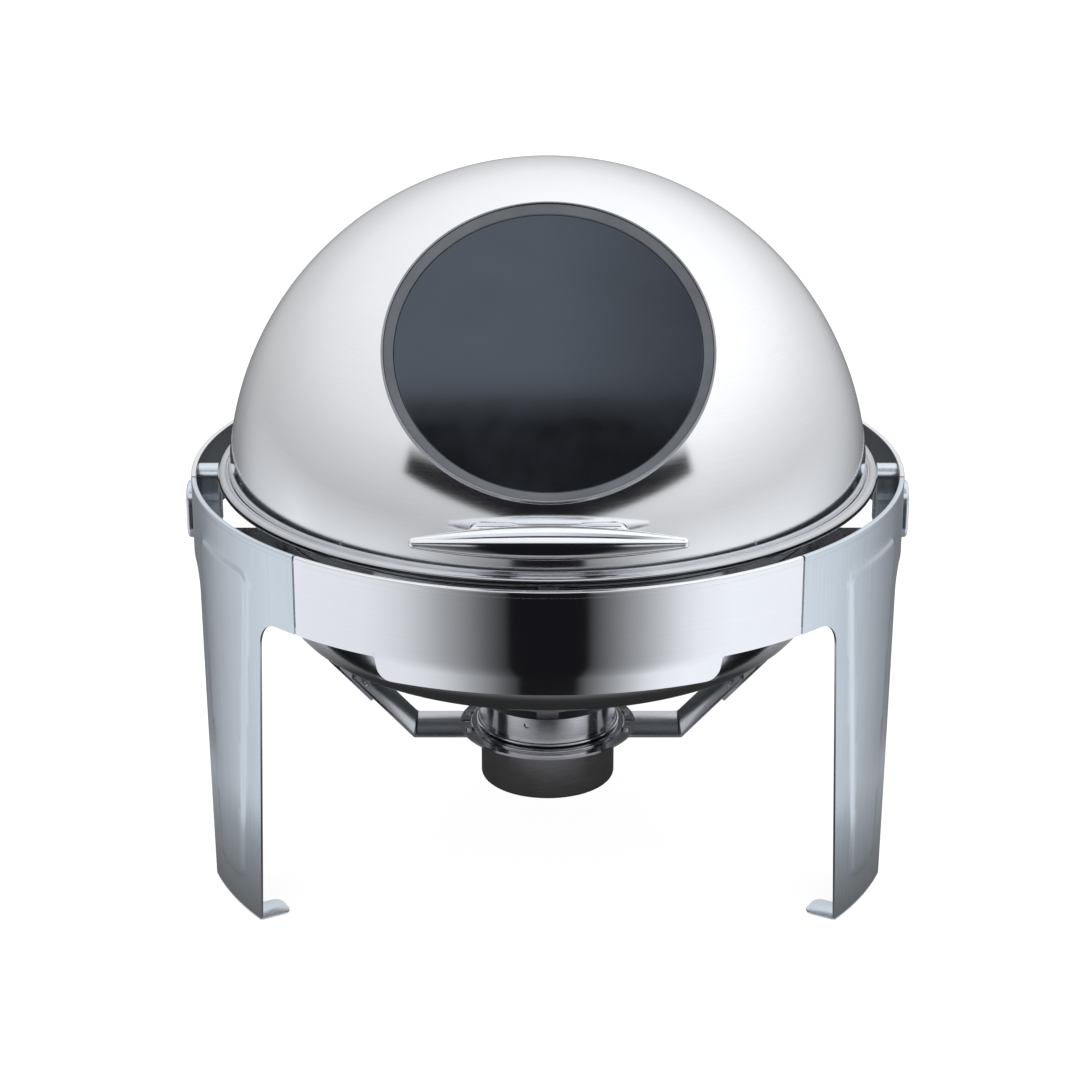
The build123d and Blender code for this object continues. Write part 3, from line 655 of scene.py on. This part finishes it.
def emboss(along, height):
    """How far the raised panel stands out at a point of the leg."""
    point = (along, height)
    outside = 0.0 if inside(core, point) else distance_to(core, point)
    share = max(0.0, min(1.0, (EMBOSS_CORNER - outside) / EMBOSS_SLOPE))
    return EMBOSS_HEIGHT * share * share * (3 - 2 * share)


def leg_pattern():
    """Flat pattern of a leg plate: band piece above, tapered leg below."""
    half = LEG_PLATE_HALF * FRAME_R - SEAM_HALF
    foot = arc_length(LEG_FOOT_HALF_WIDTH)
    knee = arc_length(LEG_TOP_HALF_WIDTH)
    top = FRAME_TOP - HEM_DEPTH
    outline = rounded([
        (-foot, 0.0, 1 * MM), (foot, 0.0, 1 * MM), (knee, BAND_BOTTOM, ARCH_RADIUS),
        (half, BAND_BOTTOM), (half, top), (-half, top), (-half, BAND_BOTTOM),
        (-knee, BAND_BOTTOM, ARCH_RADIUS),
    ], steps=14)
    loops = []
    for depth in LEG_LOOPS:
        corner = EMBOSS_CORNER - depth * MM
        loop = rounded([(*point, corner) for point in emboss_corners(depth * MM)], steps=6)
        loops.append(subdivided(loop, 4 * MM))
    return fill(subdivided(outline, 3.5 * MM), loops)


def foot_tabs(turn, shape):
    """Two flat tabs at the foot of a leg, turned inwards."""
    reach = math.sqrt((FRAME_R - SHEET) ** 2 - LEG_FOOT_HALF_WIDTH ** 2)
    for side in (-1, 1):
        outer = side * LEG_FOOT_HALF_WIDTH
        inner = side * (LEG_FOOT_HALF_WIDTH - FOOT_TAB_WIDTH)
        near = math.sqrt((FRAME_R - SHEET) ** 2 - inner ** 2)
        outline = rounded([
            (outer, -reach, 0.3 * MM),
            (inner, -near, 0.3 * MM),
            (inner, -reach + FOOT_TAB_REACH, FOOT_CORNER),
            (outer, -reach + FOOT_TAB_REACH, FOOT_CORNER),
        ])
        prism(outline, 0.0, SHEET, 0.3 * MM, Matrix.Rotation(turn, 4, "Z"), shape)


def legs():
    """The three leg plates, each with its hem and its foot tabs."""
    pattern = leg_pattern()
    reach = LEG_PLATE_HALF - SEAM_HALF / FRAME_R
    for node, azimuth in LEG_AZIMUTHS.items():
        shape = wrapped(pattern, azimuth, emboss)
        hem(azimuth - reach, azimuth + reach, shape)
        foot_tabs(azimuth, shape)
        shade_inside(piece(f"{node}_plate", shape, finishes["leg"], [node]))


def rear_bands():
    """The two stretches of band behind the front legs."""
    near = FRONT_LEG_AZIMUTH + LEG_PLATE_HALF
    far = math.pi - LEG_PLATE_HALF
    band_piece(near, far, "rear_band_right", "rear_panel_right")
    band_piece(-far, -near, "rear_band_left", "rear_panel_left")


# ---- lid ---------------------------------------------------------------------
def facing(tilt):
    """Frame on the hinge axis whose Z leaves the front at an elevation."""
    out = Vector((0, -math.cos(tilt), math.sin(tilt)))
    side = Vector((1, 0, 0))
    turn = Matrix((side, out.cross(side), out)).transposed().to_4x4()
    return Matrix.Translation(PIVOT) @ turn


WINDOW = facing(WINDOW_TILT)
HANDLE = facing(HANDLE_TILT)
WINDOW_SEAT = math.sqrt(LID_R ** 2 - WINDOW_OPENING_R ** 2)
WINDOW_EDGE = math.asin(WINDOW_OPENING_R / LID_R)


def dome():
    """Spherical shell between the window opening and the rim, on great circle lines."""
    columns, rows = 288, 72
    shape = Shape()
    height = (DOME_BASE - PIVOT.z) / LID_R
    points = []
    for radius in (LID_R, LID_R - LID_SHEET):
        for column in range(columns):
            turn = TURN * column / columns
            lift = math.sin(turn) * math.cos(WINDOW_TILT)
            level = math.sin(WINDOW_TILT)
            reach = math.atan2(lift, level) + math.acos(height / math.hypot(lift, level))
            for row in range(rows + 1):
                away = WINDOW_EDGE + (reach - WINDOW_EDGE) * row / rows
                ring = radius * math.sin(away)
                points.append((ring * math.cos(turn), ring * math.sin(turn),
                               radius * math.cos(away)))
    faces = []
    count = rows + 1
    inner = columns * count
    for column in range(columns):
        here, there = column * count, (column + 1) % columns * count
        for row in range(rows):
            quad = (here + row, here + row + 1, there + row + 1, there + row)
            faces.append(quad)
            faces.append(tuple(inner + corner for corner in reversed(quad)))
        for row in (0, rows):
            faces.append((here + row, there + row, inner + there + row, inner + here + row))
    shape.add(points, faces, WINDOW)
    piece("dome_shell", shape, finishes["dome"], ["lid_dome"])


def rim():
    """Rolled rim below the dome: neck, fine bead, main bead and flat foot."""
    bead_r = 3.2 * MM
    bead_centre = (RIM_OUTER - bead_r, RIM_BOTTOM + bead_r)
    neck = LID_R - 2.2 * MM
    profile = [(neck, RIM_BOTTOM)]
    profile += arc(bead_centre, bead_r, -90, 128, 16)
    fine = (LID_R + 1.0 * MM, DOME_BASE + 0.9 * MM)
    profile += arc(fine, 0.9 * MM, 10, 170, 8)
    profile += [(LID_R + 0.1 * MM, DOME_BASE + 0.2 * MM), (neck, DOME_BASE + 0.2 * MM)]
    piece("rim_bead", lathe(profile, 256), finishes["rim"], ["lid_rim"], 50.0)


def window():
    """Thin trim ring, grey seal and the flat smoked pane."""
    seat = WINDOW_SEAT
    edge = WINDOW_OPENING_R
    bead = edge + 1.4 * MM
    trim = rounded([
        (edge + TRIM_OVERLAP, seat - 1.2 * MM, 0.2 * MM),
        (edge + TRIM_OVERLAP, seat + 2.0 * MM, 0.7 * MM),
        (bead, seat + 2.0 * MM, 0.6 * MM),
        (bead, seat + 0.2 * MM, 0.1 * MM),
        (edge, seat + 0.2 * MM, 0.1 * MM),
        (edge, seat - 1.2 * MM, 0.2 * MM),
    ])
    seal_inner = edge - 4.6 * MM
    seal = rounded([
        (edge - 0.1 * MM, seat - 6.5 * MM, 0.4 * MM),
        (edge - 0.1 * MM, seat + 0.25 * MM, 0.1 * MM),
        (bead - 0.1 * MM, seat + 0.25 * MM, 0.1 * MM),
        (bead - 0.1 * MM, seat + 1.3 * MM, 0.4 * MM),
        (seal_inner, seat - 0.9 * MM, 0.8 * MM),
        (seal_inner, seat - 6.5 * MM, 0.4 * MM),
    ])
    pane = rounded([
        (0.0, seat - 5.0 * MM, 0.0),
        (seal_inner - 0.1 * MM, seat - 5.0 * MM, 0.5 * MM),
        (seal_inner - 0.1 * MM, seat - 1.6 * MM, 0.5 * MM),
        (0.0, seat - 1.6 * MM, 0.0),
    ])
    piece("window_trim", lathe(trim, 256, WINDOW), finishes["trim"], ["window_trim_ring"])
    piece("window_seal", lathe(seal, 256, WINDOW), finishes["rubber"], ["window_gasket"])
    piece("window_pane", lathe(pane, 192, WINDOW), finishes["glass"], ["window_glass"])


def handle():
    """Spindle-shaped grip on two oval posts that follow the dome."""
    half = GRIP_HALF - GRIP_END_R
    rise = GRIP_R - GRIP_END_R
    bow = (half ** 2 + rise ** 2) / (2 * rise)
    steps = 48
    profile = [(0.0, -half - GRIP_END_R)]
    profile += [(y, -half + x) for x, y in arc((0, 0), GRIP_END_R, 170, 100, 8)]
    for step in range(steps + 1):
        along = -half + 2 * half * step / steps
        profile.append((GRIP_R - bow + math.sqrt(bow ** 2 - along ** 2), along))
    profile += [(y, half + x) for x, y in arc((0, 0), GRIP_END_R, 80, 10, 8)]
    profile.append((0.0, half + GRIP_END_R))
    lay = HANDLE @ Matrix.Translation((0, 0, HANDLE_REACH)) @ Matrix.Rotation(math.pi / 2, 4, "Y")
    piece("grip_spindle", lathe(profile, 64, lay), finishes["mirror"], ["handle_grip"])
    for name, side in (("left", -1), ("right", 1)):
        handle_post(name, side)


def oval(width, height, steps=16):
    """Closed outline with straight sides and round ends."""
    radius = height / 2
    reach = width / 2 - radius
    return arc((reach, 0), radius, -90, 90, steps) + arc((-reach, 0), radius, 90, 270, steps)


def handle_post(name, side):
    """Oval pad on the dome that draws in to a narrower neck under the grip."""
    offset = side * HANDLE_POST_X
    points = []
    for width, depth, level in POST_LEVELS:
        for x, y in oval(width * MM, depth * MM):
            if level is None:
                height = math.sqrt((LID_R - 0.5 * MM) ** 2 - (x + offset) ** 2 - y ** 2)
            else:
                height = level * MM
            points.append((x + offset, y, height))
    shape = Shape().add(points, stacked(len(POST_LEVELS), len(points)), HANDLE)
    piece(f"post_{name}", shape, finishes["mirror"], [f"handle_post_{name}"], 50.0)


# ---- pans --------------------------------------------------------------------
def pan_profile(wall, bottom, corner, rim_r, top, sheet):
    """Section of a round pan with a rolled rim."""
    return rounded([
        (0.0, bottom, 0.0),
        (wall, bottom, corner),
        (wall, top - 1.4 * sheet, 1.5 * MM),
        (rim_r, top - 1.4 * sheet, 0.6 * MM),
        (rim_r, top, 0.6 * MM),
        (wall - sheet, top, 2.5 * MM),
        (wall - sheet, bottom + sheet, corner - sheet),
        (0.0, bottom + sheet, 0.0),
    ], steps=12)


def pans():
    """Deep water pan and the food pan that hangs in it."""
    water = pan_profile(WATER_WALL_R, WATER_BOTTOM, WATER_CORNER, WATER_RIM_R, WATER_TOP,
                        PAN_SHEET)
    food = pan_profile(FOOD_WALL_R, FOOD_BOTTOM, FOOD_CORNER, FOOD_RIM_R, FOOD_TOP, PAN_SHEET)
    piece("water_pan_bowl", lathe(water, 192), finishes["pan"], ["water_pan"])
    piece("food_pan_bowl", lathe(food, 192), finishes["pan"], ["food_pan"])


# ---- burner ------------------------------------------------------------------
def burner():
    """Cup that hangs by its flange on the burner plate."""
    place = Matrix.Translation(BURNER)
    radius = CUP_R
    wall = CUP_SHEET
    plate_top = PLATE_HIGH.z
    cup = rounded([
        (0.0, CUP_BOTTOM, 0.0),
        (radius, CUP_BOTTOM, 2.5 * MM),
        (radius, plate_top, 0.6 * MM),
        (CUP_FLANGE_R, plate_top, 0.3 * MM),
        (CUP_FLANGE_R, plate_top + wall, 0.5 * MM),
        (radius, plate_top + wall, 0.6 * MM),
        (radius, CUP_TOP, 0.3 * MM),
        (radius - wall, CUP_TOP, 0.3 * MM),
        (radius - wall, CUP_BOTTOM + wall, 2.0 * MM),
        (0.0, CUP_BOTTOM + wall, 0.0),
    ])
    piece("cup_shell", lathe(cup, 128, place), finishes["burner"], ["burner_cup"])


def bent_strip(line, thickness, bend):
    """Outline of a strip along a line of (across, height), with rounded bends."""
    outer, inner = [], []
    for index, point in enumerate(line):
        here = Vector(point)
        back = (here - Vector(line[index - 1])).normalized() if index else None
        onward = (Vector(line[index + 1]) - here).normalized() if index + 1 < len(line) else None
        direction = ((back or onward) + (onward or back)).normalized()
        square = Vector((-direction.y, direction.x))
        lean = square.dot(Vector((-(onward or back).y, (onward or back).x)))
        step = square * (thickness / 2 / lean)
        ends = 0.5 * MM if back is None or onward is None else None
        outer.append((*(here + step), ends or bend + thickness))
        inner.append((*(here - step), ends or bend))
    return rounded(outer + inner[::-1], steps=8)


def arms():
    """Bent arms that carry the burner, and the brackets they are riveted to."""
    width = size("burner_arm_right").y
    level = PLATE_LOW.z - ARM_SHEET / 2
    inner_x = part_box("burner_arm_right")[0].x

    def on_slope(distance, outwards=0.0):
        return (ARM_BEND_X + distance * math.cos(ARM_SLOPE) + outwards * math.sin(ARM_SLOPE),
                level + distance * math.sin(ARM_SLOPE) - outwards * math.cos(ARM_SLOPE))

    flange = WATER_BOTTOM - ARM_SHEET / 2
    low = on_slope(BRACKET_LOW, ARM_SHEET)
    knee = (low[0] + (flange - low[1]) / math.tan(ARM_SLOPE), flange)
    line = [(inner_x, level), (ARM_BEND_X, level), on_slope(ARM_RISE)]
    arm = bent_strip(line, ARM_SHEET, ARM_SHEET)
    bracket = bent_strip([low, knee, (BRACKET_FLANGE_X, flange)], ARM_SHEET, ARM_SHEET)
    upright = Matrix.Rotation(math.pi / 2, 4, "X")
    for name, side in (("left", -1), ("right", 1)):
        across = Matrix.Translation((0, BURNER.y, 0)) @ Matrix.Diagonal((side, 1, 1, 1)) @ upright
        for label, outline in (("burner_arm", arm), ("arm_bracket", bracket)):
            shape = prism(outline, -width / 2, width / 2, 0.35 * MM, across)
            piece(f"{label}_strip_{name}", shape, finishes["arm"], [f"{label}_{name}"], 40.0)


# ---- CAD nodes that stay -------------------------------------------------------
def dress_cad_nodes():
    """Give every CAD node that stays its own finish."""
    for node, thing in frame["nodes"].items():
        finish = finishes[slot_finish[slot_of[node]]]
        thing.data.materials.clear()
        thing.data.materials.append(finish)
        for polygon in thing.data.polygons:
            polygon.material_index = 0


front_band()
rear_bands()
legs()
dome()
rim()
window()
handle()
pans()
burner()
arms()
dress_cad_nodes()


# ---- studio ------------------------------------------------------------------
def stage_mesh(name, points, faces, material, reflection_only):
    """Part of the studio: the floor, or a card that only reflections can see."""
    mesh = bpy.data.meshes.new(name)
    mesh.from_pydata(points, [], faces)
    mesh.materials.append(material)
    thing = bpy.data.objects.new(name, mesh)
    bpy.context.scene.collection.objects.link(thing)
    if reflection_only:
        thing.visible_camera = False
        thing.visible_diffuse = False
        thing.visible_shadow = False
        thing.visible_transmission = False
    else:
        thing.visible_glossy = False
    return thing


def emitter(name):
    """Material of a card: its nodes and the emission that its colour goes to."""
    made = Nodes(bpy.data.materials.new(name))
    made.tree.nodes.clear()
    light = made.new("ShaderNodeEmission")
    made.new("ShaderNodeOutputMaterial", {"Surface": light.outputs[0]})
    return made, light


def rectangle(x, y, height):
    """Corners of a level rectangle."""
    return [(x[0], y[0], height), (x[1], y[0], height), (x[1], y[1], height), (x[0], y[1], height)]


def grey(value, blue=0.0):
    """A grey tone, a little bluer if wanted."""
    return (value * (1 - 0.6 * blue), value, value * (1 + blue))


FLOOR_HALF = 12
TABLE_R = 0.33


def floor():
    """White paper for the camera, and a dark patch of table top for the reflections."""
    made = Nodes(bpy.data.materials.new("floor_paper"))
    made.set(Base_Color=(0.28, 0.28, 0.28, 1), Roughness=1.0, Specular_IOR_Level=0.0,
             Emission_Color=(1, 1, 1, 1), Emission_Strength=0.88)
    extent = (-FLOOR_HALF, FLOOR_HALF)
    stage_mesh("floor", rectangle(extent, extent, 0.0), [(0, 1, 2, 3)], made.owner, False)
    made, light = emitter("table_card")
    place = made.new("ShaderNodeTexCoord").outputs["Object"]
    reach = made.new("ShaderNodeVectorMath", {0: place}, operation="LENGTH").outputs["Value"]
    tone = made.ramp(reach, [(0.0, grey(0.03)), (0.20, grey(0.05)), (0.235, grey(0.18)),
                             (0.30, grey(0.38, 0.05)), (0.33, grey(0.46, 0.05))])
    made.tree.links.new(tone, light.inputs["Color"])
    points = [(TABLE_R * math.sin(TURN * i / 64), TABLE_R * math.cos(TURN * i / 64), 0.001)
              for i in range(64)]
    stage_mesh("table_card", points, [tuple(range(64))], made.owner, True)


# Tone of the room round the horizon, by azimuth in degrees, and above it, by the
# height of the direction (0 is level and 1 is straight up).
AROUND = [(-180, 0.12), (-145, 0.23), (-135, 0.43), (-125, 0.62), (-109, 0.80), (-98, 0.96),
          (-84, 0.87), (-61, 0.85), (-53, 0.78), (-46, 0.69), (-39, 0.53), (-33, 0.38),
          (-26, 0.25), (-20, 0.13), (-14, 0.05), (0, 0.03), (13, 0.04), (16, 0.10), (22, 0.22),
          (29, 0.38), (35, 0.55), (42, 0.78), (49, 0.92), (60, 1.0), (80, 0.97), (98, 0.92),
          (115, 0.70), (135, 0.40), (150, 0.22), (180, 0.12)]
UPWARDS = [(0.0, 0.62), (0.2, 0.76), (0.4, 0.94), (0.6, 1.04), (1.0, 1.13)]
ROOM_TO_SKY = (-0.30, 0.0)
FLOOR_FADE = (-0.995, -0.93)
DOORWAY_HALF = math.radians(11.6)
DOORWAY_WIDE_HALF = math.radians(52)
DOORWAY_WIDENS = (0.06, 0.22)
DOORWAY_TOP = (0.30, 0.40)
DOORWAY_EDGE = math.radians(2.0)


def world():
    """Soft white room: darker low down behind, with the camera's dark doorway in front."""
    sky = bpy.data.worlds.new("surround")
    made = Nodes(sky)
    made.tree.nodes.clear()
    place = made.new("ShaderNodeTexCoord").outputs["Generated"]
    split = made.new("ShaderNodeSeparateXYZ", {0: place})
    rise = split.outputs[2]
    back = made.math("MULTIPLY", split.outputs[1], -1.0)
    azimuth = made.math("ARCTAN2", split.outputs[0], back)
    around = made.math("ADD", made.math("DIVIDE", azimuth, TURN), 0.5)
    low = made.ramp(around, [(angle / 360 + 0.5, grey(value, 0.05)) for angle, value in AROUND])
    high = made.ramp(rise, [(level, grey(value, 0.02)) for level, value in UPWARDS])
    side = made.spread(split.outputs[0], 0.88, 1.12, -0.8, 0.8)
    high = made.new("ShaderNodeVectorMath", {0: high, 1: side}, operation="MULTIPLY").outputs[0]
    lift = made.spread(rise, 0.0, 1.0, *ROOM_TO_SKY)
    room = made.blend(lift, low, high)
    below = made.spread(rise, 0.10, 1.0, *FLOOR_FADE)
    room = made.blend(below, (0.03, 0.03, 0.035, 1), room)
    half_width = made.spread(rise, DOORWAY_HALF, DOORWAY_WIDE_HALF, *DOORWAY_WIDENS)
    width = made.math("ABSOLUTE", azimuth)
    beyond = made.math("SUBTRACT", width, half_width)
    outside = made.spread(beyond, 0.0, 1.0, 0.0, DOORWAY_EDGE)
    above = made.spread(rise, 0.0, 1.0, *DOORWAY_TOP)
    clear = made.math("MAXIMUM", outside, above)
    room = made.blend(clear, (0.008, 0.008, 0.010, 1), room)
    seen = made.new("ShaderNodeLightPath").outputs["Is Glossy Ray"]
    color = made.blend(seen, (1, 1, 1, 1), room)
    light = made.new("ShaderNodeBackground", {"Color": color, "Strength": 1.0})
    made.new("ShaderNodeOutputWorld", {"Surface": light.outputs[0]})
    bpy.context.scene.world = sky


CEILING_X = (-0.72, 0.72)
CEILING_Y = (-1.40, -0.10)
CEILING_Z = 2.0


def ceiling():
    """Ceiling over the front, which the flat window reflects: dark at its front end."""
    made, light = emitter("ceiling_card")
    place = made.new("ShaderNodeTexCoord").outputs["Object"]
    split = made.new("ShaderNodeSeparateXYZ", {0: place})
    share = made.spread(split.outputs[1], 0.0, 1.0, *CEILING_Y)
    tone = made.ramp(share, [(0.0, grey(0.92)), (0.07, grey(0.01)), (0.235, grey(0.012)),
                             (0.258, grey(0.07)), (0.28, grey(0.02)), (0.325, grey(0.04)),
                             (0.335, grey(0.20)),
                             (0.375, grey(0.28)), (0.395, grey(0.62, 0.08)),
                             (0.45, grey(0.86, 0.10)), (1.0, grey(0.84, 0.10))])
    side = made.spread(split.outputs[0], 1.0, 0.42, 0.0, 0.45)
    tone = made.new("ShaderNodeVectorMath", {0: tone, 1: side}, operation="MULTIPLY").outputs[0]
    beside = made.spread(made.math("ABSOLUTE", split.outputs[0]), 0.0, 1.0, 0.48, 0.72)
    tone = made.blend(beside, tone, (1, 1, 1, 1))
    made.tree.links.new(tone, light.inputs["Color"])
    stage_mesh("ceiling_card", rectangle(CEILING_X, CEILING_Y, CEILING_Z), [(0, 1, 2, 3)],
               made.owner, True)


CAMERA_PLACE = (-0.005, -1.658, 0.832)
CAMERA_TILT = math.radians(69.28)


def camera():
    """Long lens from the front, a little above the lid."""
    data = bpy.data.cameras.new("camera")
    data.lens = 90.0
    data.sensor_width = 36.0
    thing = bpy.data.objects.new("camera", data)
    bpy.context.scene.collection.objects.link(thing)
    thing.location = CAMERA_PLACE
    thing.rotation_euler = (CAMERA_TILT, 0, 0)
    bpy.context.scene.camera = thing


floor()
world()
ceiling()
camera()
bpy.context.scene.view_settings.view_transform = "Standard"
